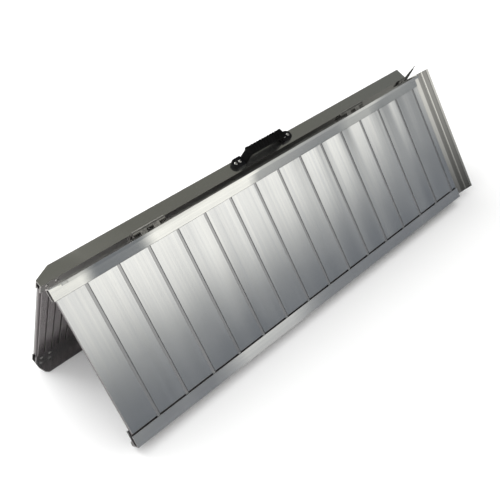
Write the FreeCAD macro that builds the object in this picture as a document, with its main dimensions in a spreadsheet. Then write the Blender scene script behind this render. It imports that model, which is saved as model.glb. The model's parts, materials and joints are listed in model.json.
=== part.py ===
import FreeCAD, Part
import math
import os
import re
import Sketcher

# A folding wheelchair ramp of extruded aluminium: two equal halves of planks laid across two
# rails, joined along the fold by two butt hinges.  It stands half open on its kerb edges, like
# a tent, with the hinge line along X at the top, the ground end at -X and the lip end at +X.
#
# Each half is drawn in a frame of its own: x runs along the rails from the ground end, y from
# the fold edge to the kerb, and z from the underside up to the tread.  The rear half is drawn
# with y negated, so the halves mirror each other, and a placement swings each to its slope.

document = FreeCAD.newDocument("FoldingRamp")

drivingSizes = {
    # planks and their interlocking seams
    "plankPitch": 80.0,
    "plankCount": 15,
    "plankHeight": 13.6,
    "plankSkin": 1.4,
    "ridgeCount": 4,
    "grooveWidth": 4.5,
    "grooveDepth": 3.6,
    "seamHalfWidth": 4.0,
    "seamRecess": 1.5,
    "treadSeamShift": 9.0,
    "tongueThickness": 1.8,
    "seamClearance": 0.4,
    "plankEndClearance": 0.5,
    "kerbSlotWidth": 4.5,
    # end bar that closes the lip end between the rails
    "endBarWidth": 18.7,
    # rails
    "halfWidth": 376.0,
    "railOverhang": 3.3,
    "flangeSkin": 2.4,
    "flangeClearance": 0.3,
    "centreWall": 2.5,
    "centreFlange": 28.0,
    "ribDepth": 16.5,
    "ribChamfer": 38.0,
    "beadWidth": 6.5,
    "beadHeight": 6.0,
    "beadWall": 1.2,
    "kerbWall": 3.0,
    "kerbHeight": 50.8,
    "kerbUnderFlange": 28.0,
    "kerbTreadFlange": 39.0,
    "kerbSquareHeight": 29.0,
    "kerbShoulderReach": 6.0,
    "kerbCornerReach": 13.0,
    "kerbCornerDrop": 6.0,
    # lip
    "lipSeat": 29.0,
    "lipReach": 68.6,
    "lipDrop": 16.7,
    "lipThickness": 3.0,
    "lipKerbGap": 1.0,
    "lipEdgeThickness": 1.6,
    "lipLand": 35.0,
    "lipStrip": 7.0,
    "lipRib": 5.0,
    "lipEdge": 8.0,
    "lipSink": 0.8,
    "lipRibCount": 5,
    "lipRibPitch": 11.0,
    "lipRibWidth": 3.0,
    "lipRibHeight": 1.0,
    # hinges
    "foldAngle": 58.34,
    "hingeEdgeGap": 6.0,
    "hingeFromGround": 265.0,
    "hingeFromLip": 257.0,
    "hingeLength": 88.0,
    "knuckleRadius": 5.5,
    "knuckleGap": 0.3,
    "leafThickness": 2.5,
    "leafWidth": 26.0,
    "pinRadius": 3.0,
    "pinClearance": 0.05,
    "pinOverhang": 1.0,
    "leafClearance": 0.5,
    # fasteners
    "rivetHeadRadius": 4.2,
    "rivetHeadTopRadius": 2.4,
    "rivetHeadHeight": 1.6,
    "rivetShankRadius": 2.0,
    "rivetTailRadius": 2.5,
    "rivetTailLength": 3.5,
    "rivetClearance": 0.1,
    "tailClearance": 0.4,
    "endRivetFirst": 15.5,
    "endRivetStep": 23.0,
    "centreRivetLine": 12.0,
    "kerbRivetLine": 17.0,
    "lipRivetStep": 12.0,
    "leafRivetInset": 11.0,
    "leafRivetStep": 22.0,
    "leafRivetLine": 15.0,
    # carrying handle on the rear half's fold edge
    "handleDrop": 4.0,
    "handleSpan": 168.0,
    "capRadius": 13.5,
    "capLength": 34.0,
    "capThickness": 8.0,
    "capRivetStep": 14.0,
    "bandWidth": 18.0,
    "bandThickness": 1.6,
    "bandClearance": 0.3,
    "bandSeat": 2.0,
    "bandFoot": 1.0,
    "gripLength": 118.0,
    "gripWidth": 25.0,
    "gripThickness": 12.0,
    "gripLift": 31.0,
}

sheet = document.addObject("Spreadsheet::Sheet", "Sizes")
for row, (alias, size) in enumerate(drivingSizes.items(), start=1):
    sheet.set("A%d" % row, alias)
    sheet.set("B%d" % row, str(size))
    sheet.setAlias("B%d" % row, alias)
document.recompute()

# Formulas that several pieces share, written with the sheet's names.
flangeUnder = "(plankHeight + flangeClearance)"
railTop = "(plankHeight + flangeClearance + flangeSkin)"
hingeHeight = "(plankHeight + flangeClearance + flangeSkin + knuckleRadius)"
ridgePitch = "(plankPitch/ridgeCount)"
grooveFloor = "(plankHeight - grooveDepth)"
tongueTop = "(seamRecess + tongueThickness)"
firstSeam = "(railOverhang + plankSkin/2 + plankPitch - plankPitch/ridgeCount + treadSeamShift)"
lastSeam = "(%s + plankPitch*(plankCount - 1))" % firstSeam
railLength = "(%s + seamHalfWidth + endBarWidth + railOverhang)" % lastSeam
plankStart = "(centreWall + plankEndClearance)"
plankSpan = "(halfWidth - kerbWall - centreWall - 2*plankEndClearance)"
kerbInside = "(halfWidth - kerbWall)"
lipWidth = "(halfWidth - kerbWall - lipKerbGap)"
lipSlope = "(lipDrop/lipReach)"
handleCentre = "((%s + lipReach)/2)" % railLength

sides = {"front": 1, "rear": -1}
finished = []


def linked(formula):
    return re.sub(r"[A-Za-z]\w*", lambda word: "Sizes." + word.group(0), formula)


def valueOf(formula):
    return float(sheet.evalExpression(linked(formula)))


def bind(target, name, formula):
    target.setExpression(name, linked(formula))


def signed(side, formula):
    return "%d*(%s)" % (side, formula)


# Places a half: its outer face leans from the hinge line by half of the fold angle.
def halfPlacement(side):
    lean = valueOf("foldAngle")/2
    turn = FreeCAD.Rotation(FreeCAD.Vector(1, 0, 0), -side*(90 + lean))
    hinge = FreeCAD.Vector(0, -side*valueOf("hingeEdgeGap"), valueOf(hingeHeight))
    downSlope = valueOf("halfWidth + hingeEdgeGap")*math.cos(math.radians(lean))
    kerbBelow = valueOf("kerbHeight - %s" % hingeHeight)*math.sin(math.radians(lean))
    ridgeLine = FreeCAD.Vector(-valueOf(handleCentre), 0, downSlope + kerbBelow)
    return FreeCAD.Placement(ridgeLine - turn.multVec(hinge), turn)


def finish(piece, node, side):
    piece.Label = node
    piece.Placement = halfPlacement(side)
    finished.append(piece)


# Draws a closed outline through the corners, each a pair of formulas that stays bound.
def drawOutline(sketch, corners):
    first = sketch.GeometryCount
    count = len(corners)
    points = [FreeCAD.Vector(valueOf(across), valueOf(up), 0) for across, up in corners]
    sketch.addGeometry([Part.LineSegment(points[i], points[(i + 1) % count]) for i in range(count)])
    for i in range(count):
        following = first + (i + 1) % count
        sketch.addConstraint(Sketcher.Constraint("Coincident", first + i, 2, following, 1))
    for i, corner in enumerate(corners):
        for kind, axis, formula in (("DistanceX", -2, corner[0]), ("DistanceY", -1, corner[1])):
            if formula == "0":
                sketch.addConstraint(Sketcher.Constraint("PointOnObject", first + i, 1, axis))
                continue
            size = valueOf(formula)
            index = sketch.addConstraint(Sketcher.Constraint(kind, -1, 1, first + i, 1, size))
            bind(sketch, "Constraints[%d]" % index, formula)


def rectangle(left, low, right, high):
    return [(left, low), (right, low), (right, high), (left, high)]


def newBody(node):
    return document.addObject("PartDesign::Body", node + "_extrusion")


def newSketch(body, plane, name):
    support = next(item for item in body.Origin.OriginFeatures if item.Role == plane)
    sketch = body.newObject("Sketcher::SketchObject", name)
    sketch.AttachmentSupport = (support, [""])
    sketch.MapMode = "FlatFace"
    return sketch


def addPad(body, sketch, length, reverse):
    pad = body.newObject("PartDesign::Pad", body.Name + "_pad")
    pad.Profile = sketch
    pad.Reversed = reverse
    bind(pad, "Length", length)


# Each pocket must take something away, because one that points outward cuts nothing.
def addPocket(body, sketch, depth, reverse):
    document.recompute()
    volumeBefore = body.Shape.Volume
    pocket = body.newObject("PartDesign::Pocket", sketch.Name + "_pocket")
    pocket.Profile = sketch
    pocket.Reversed = reverse
    bind(pocket, "Length", depth)
    document.recompute()
    if body.Shape.Volume >= volumeBefore:
        raise RuntimeError("nothing was cut by " + pocket.Name)


# Plain solids in a half's frame.  The mirrored half takes y with its sign changed.
def block(name, side, corner, extent):
    box = document.addObject("Part::Box", name)
    x, y, z = corner
    for property, formula in zip(("Length", "Width", "Height"), extent):
        bind(box, property, formula)
    bind(box, "Placement.Base.x", x)
    bind(box, "Placement.Base.y", y if side > 0 else "-(%s) - (%s)" % (y, extent[1]))
    bind(box, "Placement.Base.z", z)
    return box


def rod(name, direction, start, length, radius):
    cylinder = document.addObject("Part::Cylinder", name)
    cylinder.Placement.Rotation = FreeCAD.Rotation(FreeCAD.Vector(0, 0, 1), direction)
    bind(cylinder, "Radius", radius)
    bind(cylinder, "Height", length)
    for axis, formula in zip("xyz", start):
        bind(cylinder, "Placement.Base." + axis, formula)
    return cylinder


along = FreeCAD.Vector(1, 0, 0)
outward = FreeCAD.Vector(0, 1, 0)
upward = FreeCAD.Vector(0, 0, 1)


def upright(name, side, place, low, high, radius):
    start = (place[0], signed(side, place[1]), low)
    return rod(name, upward, start, "(%s) - (%s)" % (high, low), radius)


def fuse(name, pieces):
    joined = document.addObject("Part::MultiFuse", name)
    joined.Shapes = pieces
    return joined


def cut(name, base, tools):
    result = document.addObject("Part::Cut", name)
    result.Base = base
    result.Tool = tools[0] if len(tools) == 1 else fuse(name + "_tools", tools)
    return result


# Where the rivets of a half stand: x, y, and the height of the face under the head.
hingeCentres = {"ground": "hingeFromGround", "lip": "(%s - hingeFromLip)" % railLength}
rivetLines = {"centre": "centreRivetLine", "kerb": "(halfWidth - kerbRivetLine)"}
endRivets = {}
lipRivets = {}
for rail, line in rivetLines.items():
    endRivets[rail] = [("endRivetFirst + %d*endRivetStep" % step, line, railTop) for step in (0, 1)]
    lipRivets[rail] = [("%s - lipSeat/2 + %d*lipRivetStep/2" % (railLength, step), line,
                        "(%s + lipThickness)" % railTop) for step in (-1, 1)]
leafRivets = {}
for end, centre in hingeCentres.items():
    leafRivets[end] = [("%s - hingeLength/2 + leafRivetInset + %d*leafRivetStep" % (centre, step),
                        "leafRivetLine", "(%s + leafThickness)" % railTop) for step in range(4)]
hiddenTails = sum([*endRivets.values(), *lipRivets.values(), *leafRivets.values()], [])


# Rivets: a coned head, a shank through the layers, and a swollen tail under the flange.
def rivetSet(node, side, places):
    rivets = []
    for number, place in enumerate(places):
        name = "%s_%d" % (node, number)
        x, y, seat = place
        head = document.addObject("Part::Cone", name + "_head")
        bind(head, "Radius1", "rivetHeadRadius")
        bind(head, "Radius2", "rivetHeadTopRadius")
        bind(head, "Height", "rivetHeadHeight")
        for axis, formula in zip("xyz", (x, signed(side, y), seat)):
            bind(head, "Placement.Base." + axis, formula)
        shank = upright(name + "_shank", side, place, flangeUnder, seat, "rivetShankRadius")
        tailEnd = "(%s - rivetTailLength)" % flangeUnder
        tail = upright(name + "_tail", side, place, tailEnd, flangeUnder, "rivetTailRadius")
        rivets.append(fuse(name, [head, shank, tail]))
    group = document.addObject("Part::Compound", node)
    group.Links = rivets
    finish(group, node, side)


def rivetHoles(name, side, places, low, high):
    radius = "(rivetShankRadius + rivetClearance)"
    return [upright("%s_hole_%d" % (name, number), side, place, low, high, radius)
            for number, place in enumerate(places)]


def flangeHoles(name, side, places):
    return rivetHoles(name, side, places, "%s - flangeClearance" % flangeUnder,
                      "%s + flangeClearance" % railTop)


# The hidden ends of the planks make room for each rivet tail that comes down on them.
def tailHoles(name, side, low, high):
    radius = "(rivetTailRadius + tailClearance)"
    floor = "(%s - rivetTailLength - tailClearance)" % flangeUnder
    reach = valueOf(radius)
    near = [place for place in hiddenTails if low - reach < valueOf(place[0]) < high + reach]
    return [upright("%s_tail_hole_%d" % (name, number), side, place, floor, railTop, radius)
            for number, place in enumerate(near)]


# Rails: open channels that hold the ends of the planks between two flanges.  Below its channel
# the centre rail has a rib with a hollow bead, cut back at a slant at the ground end.
def centreRail(sideName):
    side = sides[sideName]
    node = "centre_rail_" + sideName
    body = newBody(node)
    profile = newSketch(body, "YZ_Plane", node + "_profile")
    wall = signed(side, "centreWall")
    flange = signed(side, "centreFlange")
    bead = signed(side, "beadWidth")
    beadTop = "beadHeight - ribDepth"
    drawOutline(profile, [("0", "-ribDepth"), (bead, "-ribDepth"), (bead, beadTop), (wall, beadTop),
                          (wall, "0"), (flange, "0"), (flange, "flangeSkin"), (wall, "flangeSkin"),
                          (wall, flangeUnder), (flange, flangeUnder), (flange, railTop), ("0", railTop)])
    drawOutline(profile, rectangle(signed(side, "beadWall"), "beadWall - ribDepth",
                                   signed(side, "beadWidth - beadWall"), beadTop + " - beadWall"))
    addPad(body, profile, railLength, False)
    slant = newSketch(body, "XZ_Plane", node + "_slant")
    drawOutline(slant, [("-railOverhang", "0"), ("0", "0"), ("ribChamfer", "-ribDepth"),
                        ("ribChamfer", "-2*ribDepth"), ("-railOverhang", "-2*ribDepth")])
    addPocket(body, slant, "beadWidth + beadWall", side < 0)
    places = endRivets["centre"] + lipRivets["centre"] + leafRivets["ground"] + leafRivets["lip"]
    holes = flangeHoles(node, side, places)
    if sideName == "rear":
        holes += handleRivetHoles(node, "-2*centreWall", "centreWall", handlePlaces)
    finish(cut(node, body, holes), node, side)


def kerbRail(sideName):
    side = sides[sideName]
    node = "kerb_rail_" + sideName
    body = newBody(node)
    profile = newSketch(body, "YZ_Plane", node + "_profile")
    treadEdge = "halfWidth - kerbTreadFlange"
    underEdge = "halfWidth - kerbUnderFlange"
    corners = [("halfWidth", "0"), ("halfWidth", "kerbHeight"), (kerbInside, "kerbHeight"),
               (kerbInside, railTop), (treadEdge, railTop), (treadEdge, flangeUnder),
               (kerbInside, flangeUnder), (kerbInside, "flangeSkin"), (underEdge, "flangeSkin"),
               (underEdge, "0")]
    drawOutline(profile, [(signed(side, across), up) for across, up in corners])
    addPad(body, profile, railLength, False)
    trim = newSketch(body, "XZ_Plane", node + "_trim")
    bind(trim, "AttachmentOffset.Base.z", signed(-side, "halfWidth + kerbWall"))
    for end, inward in (("0", 1), (railLength, -1)):
        outside = "%s - %d*railOverhang" % (end, inward)
        shoulder = "%s + %d*kerbShoulderReach" % (end, inward)
        crest = "%s + %d*kerbCornerReach" % (end, inward)
        drawOutline(trim, [(outside, "kerbSquareHeight"), (end, "kerbSquareHeight"),
                           (shoulder, "kerbHeight - kerbCornerDrop"), (crest, "kerbHeight"),
                           (crest, "2*kerbHeight"), (outside, "2*kerbHeight")])
    addPocket(body, trim, "3*kerbWall", side > 0)
    finish(cut(node, body, flangeHoles(node, side, endRivets["kerb"] + lipRivets["kerb"])), node, side)


# Planks: hollow extrusions with raised tread ridges.  The tongue at the lip side of each one
# tucks under the overhang of the next, and shows as a sunk seam on the underside.  The plank
# at the ground end starts at its first web, so it has no overhang.
def grooveCentre(number):
    return "(%s*%d - treadSeamShift)" % (ridgePitch, number)


def plankOutline(trimmed):
    ridges = round(valueOf("ridgeCount"))
    tongueRoot = "plankPitch - seamHalfWidth"
    tongueTip = "plankPitch + seamHalfWidth - seamClearance"
    lipWall = "%s + grooveWidth/2 - seamClearance" % grooveCentre(ridges)
    corners = [(tongueRoot, "0"), (tongueRoot, "seamRecess"), (tongueTip, "seamRecess"),
               (tongueTip, tongueTop), (lipWall, tongueTop), (lipWall, grooveFloor)]
    firstRidge = 1 if trimmed else 0
    for number in range(ridges - 1, firstRidge - 1, -1):
        rightEdge = "%s - grooveWidth/2" % grooveCentre(number + 1)
        leftEdge = "%s + grooveWidth/2" % grooveCentre(number)
        corners += [(rightEdge, grooveFloor), (rightEdge, "plankHeight"), (leftEdge, "plankHeight")]
        if number > firstRidge or trimmed:
            corners.append((leftEdge, grooveFloor))
    if trimmed:
        wall = "%s - plankSkin/2" % grooveCentre(1)
        return corners + [(wall, grooveFloor), (wall, "0")]
    overhang = "%s + grooveWidth/2" % grooveCentre(0)
    underOverhang = "%s + seamClearance" % tongueTop
    return corners + [(overhang, underOverhang), ("seamHalfWidth", underOverhang), ("seamHalfWidth", "0")]


# The hollow under each ridge: wide between the webs, narrow inside the ridge itself.
def plankCells(trimmed):
    ridges = round(valueOf("ridgeCount"))
    low = "%s - plankSkin" % grooveFloor
    high = "plankHeight - plankSkin"
    cells = []
    for number in range(1 if trimmed else 0, ridges):
        ridgeLeft = "%s + grooveWidth/2 + plankSkin" % grooveCentre(number)
        ridgeRight = "%s - grooveWidth/2 - plankSkin" % grooveCentre(number + 1)
        webLeft = "%s + plankSkin/2" % grooveCentre(number)
        webRight = "%s - plankSkin/2" % grooveCentre(number + 1)
        if number == ridges - 1:
            webRight = "%s + grooveWidth/2 - seamClearance - plankSkin" % grooveCentre(number + 1)
        upper = [(webRight, low), (ridgeRight, low), (ridgeRight, high), (ridgeLeft, high)]
        if number == 0:
            step = "%s + seamClearance + plankSkin" % tongueTop
            inner = "seamHalfWidth + plankSkin"
            lower = [(ridgeLeft, step), (inner, step), (inner, "plankSkin"), (webRight, "plankSkin")]
            cells.append(lower + upper)
        else:
            lower = [(webLeft, "plankSkin"), (webRight, "plankSkin")]
            cells.append(lower + upper + [(ridgeLeft, low), (webLeft, low)])
    return cells


# Cuts the lower skin away where the ends slide over the rails' lower flanges.  At the kerb a
# slot is left open between the skin and the flange, and each tongue crosses it.
def notchEnds(body, side, seam, right, tongueRoot):
    notch = newSketch(body, "XY_Plane", body.Name + "_notch")
    bind(notch, "AttachmentOffset.Base.x", seam)
    left = "-2*treadSeamShift"
    slotEdge = signed(side, "halfWidth - kerbUnderFlange - kerbSlotWidth")
    tongueEdge = signed(side, "halfWidth - kerbUnderFlange - flangeClearance")
    beyond = signed(side, "halfWidth")
    foldSide = rectangle(left, "0", right, signed(side, "centreFlange + flangeClearance"))
    kerbSide = [(left, slotEdge), (tongueRoot, slotEdge), (tongueRoot, tongueEdge), (right, tongueEdge),
                (right, beyond), (left, beyond)]
    drawOutline(notch, foldSide)
    drawOutline(notch, kerbSide)
    addPocket(body, notch, "flangeSkin + flangeClearance", True)


def padBetweenRails(body, profile, side):
    bind(profile, "AttachmentOffset.Base.z", signed(-side, plankStart))
    addPad(body, profile, plankSpan, side > 0)


def plank(sideName, number):
    side = sides[sideName]
    node = "plank_%s_%02d" % (sideName, number + 1)
    trimmed = number == 0
    seam = "%s + plankPitch*%d" % (firstSeam, number - 1)
    body = newBody(node)
    profile = newSketch(body, "XZ_Plane", node + "_profile")
    bind(profile, "AttachmentOffset.Base.x", seam)
    drawOutline(profile, plankOutline(trimmed))
    for cell in plankCells(trimmed):
        drawOutline(profile, cell)
    padBetweenRails(body, profile, side)
    notchEnds(body, side, seam, "plankPitch + 2*seamHalfWidth", "plankPitch - seamHalfWidth")
    start = valueOf("%s - treadSeamShift" % seam)
    holes = tailHoles(node, side, start, start + valueOf("plankPitch"))
    finish(cut(node, body, holes) if holes else body, node, side)


# End bar: a short box that takes the last tongue and closes the lip end between the rails.
def endBar(sideName):
    side = sides[sideName]
    node = "end_bar_" + sideName
    body = newBody(node)
    profile = newSketch(body, "XZ_Plane", node + "_profile")
    bind(profile, "AttachmentOffset.Base.x", lastSeam)
    end = "seamHalfWidth + endBarWidth"
    overhang = "%s + grooveWidth/2" % grooveCentre(0)
    under = "%s + seamClearance" % tongueTop
    drawOutline(profile, [("seamHalfWidth", "0"), (end, "0"), (end, "plankHeight"),
                          (overhang, "plankHeight"), (overhang, under), ("seamHalfWidth", under)])
    inner = "seamHalfWidth + plankSkin"
    step = "%s + plankSkin" % under
    drawOutline(profile, [(inner, "plankSkin"), (end + " - plankSkin", "plankSkin"),
                          (end + " - plankSkin", "plankHeight - plankSkin"),
                          (overhang + " + plankSkin", "plankHeight - plankSkin"),
                          (overhang + " + plankSkin", step), (inner, step)])
    padBetweenRails(body, profile, side)
    notchEnds(body, side, lastSeam, end + " + seamHalfWidth", end)
    start = valueOf("%s - treadSeamShift" % lastSeam)
    finish(cut(node, body, tailHoles(node, side, start, valueOf(railLength))), node, side)


# Lip: one bent extrusion that lies on the tread flanges and slopes down past the rails' ends.
def onLipSlope(reach, offset):
    return (reach, "%s - %s*(%s) + %s" % (railTop, lipSlope, reach, offset))


def lip(sideName):
    side = sides[sideName]
    node = "lip_" + sideName
    body = newBody(node)
    profile = newSketch(body, "XZ_Plane", node + "_profile")
    bind(profile, "AttachmentOffset.Base.x", railLength)
    corners = [("-lipSeat", railTop), ("0", railTop)]
    # the underside has a broad land by the bend, then two sunk strips with a rib between them
    for start, stop in (("lipLand", "lipLand + lipStrip"),
                        ("lipLand + lipStrip + lipRib", "lipReach - lipEdge")):
        corners += [onLipSlope(start, "0"), onLipSlope(start, "lipSink"),
                    onLipSlope(stop, "lipSink"), onLipSlope(stop, "0")]
    corners += [onLipSlope("lipReach", "0"), onLipSlope("lipReach", "lipEdgeThickness")]
    # the tread side has low grip ribs across the slope
    for number in range(round(valueOf("lipRibCount")), 0, -1):
        stop = "lipRibPitch*%d" % number
        start = "%s - lipRibWidth" % stop
        corners += [onLipSlope(stop, "lipThickness"), onLipSlope(stop, "lipThickness + lipRibHeight"),
                    onLipSlope(start, "lipThickness + lipRibHeight"), onLipSlope(start, "lipThickness")]
    corners += [("0", "%s + lipThickness" % railTop), ("-lipSeat", "%s + lipThickness" % railTop)]
    drawOutline(profile, corners)
    addPad(body, profile, lipWidth, side > 0)
    places = lipRivets["centre"] + lipRivets["kerb"]
    holes = rivetHoles(node, side, places, "%s - lipThickness" % railTop, "%s + 2*lipThickness" % railTop)
    finish(cut(node, body, holes), node, side)


# Hinges: five knuckles on one pin; the front leaf has two of them and the rear leaf three.
hingeKnuckles = {"front": (1, 3), "rear": (0, 2, 4)}


def hingeLeaf(sideName, end):
    side = sides[sideName]
    node = "hinge_leaf_%s_%s" % (sideName, end)
    start = "%s - hingeLength/2" % hingeCentres[end]
    acrossAxis = signed(-side, "hingeEdgeGap")
    pieces = [block(node + "_plate", side, (start, "leafClearance", railTop),
                    ("hingeLength", "leafWidth - leafClearance", "leafThickness"))]
    for knuckle in hingeKnuckles[sideName]:
        name = "%s_knuckle_%d" % (node, knuckle)
        x = "%s + hingeLength*%d/5 + knuckleGap/2" % (start, knuckle)
        length = "hingeLength/5 - knuckleGap"
        pieces.append(rod(name, along, (x, acrossAxis, hingeHeight), length, "knuckleRadius"))
        pieces.append(block(name + "_tab", side, (x, "-hingeEdgeGap", railTop),
                            (length, "hingeEdgeGap + 2*leafClearance", "leafThickness")))
    bore = rod(node + "_bore", along, (start + " - pinOverhang", acrossAxis, hingeHeight),
               "hingeLength + 2*pinOverhang", "pinRadius + pinClearance")
    holes = rivetHoles(node, side, leafRivets[end], "%s - leafThickness" % railTop,
                       "%s + 2*leafThickness" % railTop)
    finish(cut(node, fuse(node + "_blank", pieces), [bore] + holes), node, side)


def hingePin(end):
    node = "hinge_pin_" + end
    start = "%s - hingeLength/2 - pinOverhang" % hingeCentres[end]
    pin = rod(node + "_rod", along, (start, "hingeEdgeGap", hingeHeight),
              "hingeLength + 2*pinOverhang", "pinRadius")
    placed = document.addObject("Part::Compound", node)
    placed.Links = [pin]
    finish(placed, node, sides["rear"])


# Handle: two end caps riveted to the rear fold edge, a spring band from cap to cap, and a grip
# sleeve on the raised middle of the band.  In the rear half's frame y points out of this edge.
handleEnds = {"ground": -1, "lip": 1}
capPlaces = {}
for end, toward in handleEnds.items():
    capPlaces[end] = ["%s + %d*handleSpan/2 + %d*capRivetStep/2" % (handleCentre, toward, step)
                      for step in (-1, 1)]
handlePlaces = sum(capPlaces.values(), [])


def handleRivetHoles(name, near, far, places):
    return [rod("%s_handle_hole_%d" % (name, number), outward, (place, near, "-handleDrop"),
                "(%s) - (%s)" % (far, near), "rivetShankRadius + rivetClearance")
            for number, place in enumerate(places)]


def handleCap(end):
    toward = handleEnds[end]
    node = "handle_cap_" + end
    tip = "%s + %d*(handleSpan/2 + capLength/2)" % (handleCentre, toward)
    turnCentre = "%s - %d*capRadius" % (tip, toward)
    mouth = "%s - %d*capLength" % (tip, toward)
    straight = "capLength - capRadius"
    low = turnCentre if toward < 0 else mouth
    rounded = rod(node + "_round", outward, (turnCentre, "0", "-handleDrop"), "capThickness", "capRadius")
    square = block(node + "_square", 1, (low, "0", "-handleDrop - capRadius"),
                   (straight, "capThickness", "2*capRadius"))
    slotWidth = "bandWidth + 2*bandClearance"
    slot = block(node + "_slot", 1, (low, "bandSeat - bandClearance", "-handleDrop - (%s)/2" % slotWidth),
                 (straight, "bandThickness + 2*bandClearance", slotWidth))
    holes = handleRivetHoles(node, "-centreWall", "2*capThickness", capPlaces[end])
    finish(cut(node, fuse(node + "_blank", [rounded, square]), [slot] + holes), node, sides["rear"])


# The band leaves each cap level, climbs steeply to the grip and crosses it level; it is slotted
# in the caps for the rivets, so that it can slide there and lie flat.
def handleBand():
    node = "handle_band"
    body = newBody(node)
    profile = newSketch(body, "XY_Plane", node + "_profile")
    bind(profile, "AttachmentOffset.Base.x", handleCentre)
    bind(profile, "AttachmentOffset.Base.z", "-handleDrop - bandWidth/2")
    tip = "handleSpan/2 + capLength/2 - capRadius - bandClearance"
    foot = "handleSpan/2 - capLength/2 - bandFoot"
    knee = "gripLength/2 + bandFoot"
    inner = [("-(%s)" % tip, "bandSeat"), ("-(%s)" % foot, "bandSeat"), ("-(%s)" % knee, "gripLift"),
             (knee, "gripLift"), (foot, "bandSeat"), (tip, "bandSeat")]
    lifted = {"bandSeat": "bandSeat + bandThickness", "gripLift": "gripLift + bandThickness"}
    outer = [(across, lifted[up]) for across, up in reversed(inner)]
    drawOutline(profile, inner + outer)
    addPad(body, profile, "bandWidth", False)
    slot = "capRivetStep + 4*rivetShankRadius + 2*bandClearance"
    slots = [block("%s_slot_%s" % (node, end), 1,
                   ("%s + %d*handleSpan/2 - (%s)/2" % (handleCentre, toward, slot), "0",
                    "-handleDrop - 2*rivetShankRadius"), (slot, "2*bandSeat", "4*rivetShankRadius"))
             for end, toward in handleEnds.items()]
    finish(cut(node, body, slots), node, sides["rear"])


def handleGrip():
    node = "handle_grip"
    middle = "gripLift + bandThickness/2"
    start = "%s - gripLength/2" % handleCentre
    sleeve = block(node + "_sleeve", 1, (start, "%s - gripThickness/2" % middle, "-handleDrop - gripWidth/2"),
                   ("gripLength", "gripThickness", "gripWidth"))
    opening = block(node + "_opening", 1,
                    (start, "gripLift - bandClearance", "-handleDrop - bandWidth/2 - bandClearance"),
                    ("gripLength", "bandThickness + 2*bandClearance", "bandWidth + 2*bandClearance"))
    finish(cut(node, sleeve, [opening]), node, sides["rear"])


def handleRivets():
    node = "handle_rivets"
    rivets = []
    for number, place in enumerate(handlePlaces):
        name = "%s_%d" % (node, number)
        pieces = []
        for part, near, far, radius in (("head", "capThickness", "capThickness + rivetHeadHeight",
                                         "rivetHeadRadius"),
                                        ("shank", "-centreWall", "capThickness", "rivetShankRadius"),
                                        ("tail", "-centreWall - rivetHeadHeight", "-centreWall",
                                         "rivetTailRadius")):
            pieces.append(rod("%s_%s" % (name, part), outward, (place, near, "-handleDrop"),
                              "(%s) - (%s)" % (far, near), radius))
        rivets.append(fuse(name, pieces))
    group = document.addObject("Part::Compound", node)
    group.Links = rivets
    finish(group, node, sides["rear"])


for sideName, side in sides.items():
    centreRail(sideName)
    kerbRail(sideName)
    for number in range(round(valueOf("plankCount"))):
        plank(sideName, number)
    endBar(sideName)
    lip(sideName)
    rivetSet("rail_rivets_" + sideName, side, endRivets["centre"] + endRivets["kerb"])
    rivetSet("lip_rivets_" + sideName, side, lipRivets["centre"] + lipRivets["kerb"])
    rivetSet("hinge_rivets_" + sideName, side, leafRivets["ground"] + leafRivets["lip"])
    for end in hingeCentres:
        hingeLeaf(sideName, end)

for end in hingeCentres:
    hingePin(end)
for end in handleEnds:
    handleCap(end)
handleBand()
handleGrip()
handleRivets()
document.recompute()

for item in document.Objects:
    if "Invalid" in item.State or "Error" in item.State:
        raise RuntimeError("%s failed: %s" % (item.Label, item.State))
for piece in finished:
    if piece.Shape.isNull() or not piece.Shape.isValid():
        raise RuntimeError("%s has no valid shape" % piece.Label)

os.makedirs("parts", exist_ok=True)
for piece in finished:
    piece.Shape.exportStep("parts/%s.step" % piece.Label)
print("%d nodes written" % len(finished))
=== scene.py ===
import json
import math

import bmesh
import bpy
from mathutils import Matrix, Vector


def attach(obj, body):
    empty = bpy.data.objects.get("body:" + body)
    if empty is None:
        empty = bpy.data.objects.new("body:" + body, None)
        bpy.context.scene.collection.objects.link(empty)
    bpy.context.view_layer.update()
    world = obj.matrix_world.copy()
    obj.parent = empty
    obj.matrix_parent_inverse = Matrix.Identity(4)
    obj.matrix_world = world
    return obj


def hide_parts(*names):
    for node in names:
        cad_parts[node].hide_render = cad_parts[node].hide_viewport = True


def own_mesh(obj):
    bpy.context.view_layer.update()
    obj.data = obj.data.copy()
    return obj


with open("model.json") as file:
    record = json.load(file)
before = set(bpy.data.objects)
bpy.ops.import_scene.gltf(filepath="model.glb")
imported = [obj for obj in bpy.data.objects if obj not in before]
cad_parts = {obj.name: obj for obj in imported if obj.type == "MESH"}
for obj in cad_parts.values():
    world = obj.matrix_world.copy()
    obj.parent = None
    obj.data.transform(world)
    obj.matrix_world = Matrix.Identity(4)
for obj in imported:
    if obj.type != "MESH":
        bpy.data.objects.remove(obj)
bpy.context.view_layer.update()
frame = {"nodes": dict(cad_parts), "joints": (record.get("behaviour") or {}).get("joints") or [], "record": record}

# Where each half stands. Sizes of one half are in millimetres: x from the ground end,
# y from the fold edge to the kerb, z from the underside up to the tread.
half = {
    "hingeEdgeGap": 6.0,
    "hingeHeight": 21.8,
    "groundEnd": 643.8,
}
metre = 0.001
foldJoint = frame["joints"][0]
lean = math.radians(180 - max(foldJoint["range_deg"])) / 2
sideSigns = {"front": 1, "rear": -1}


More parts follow.
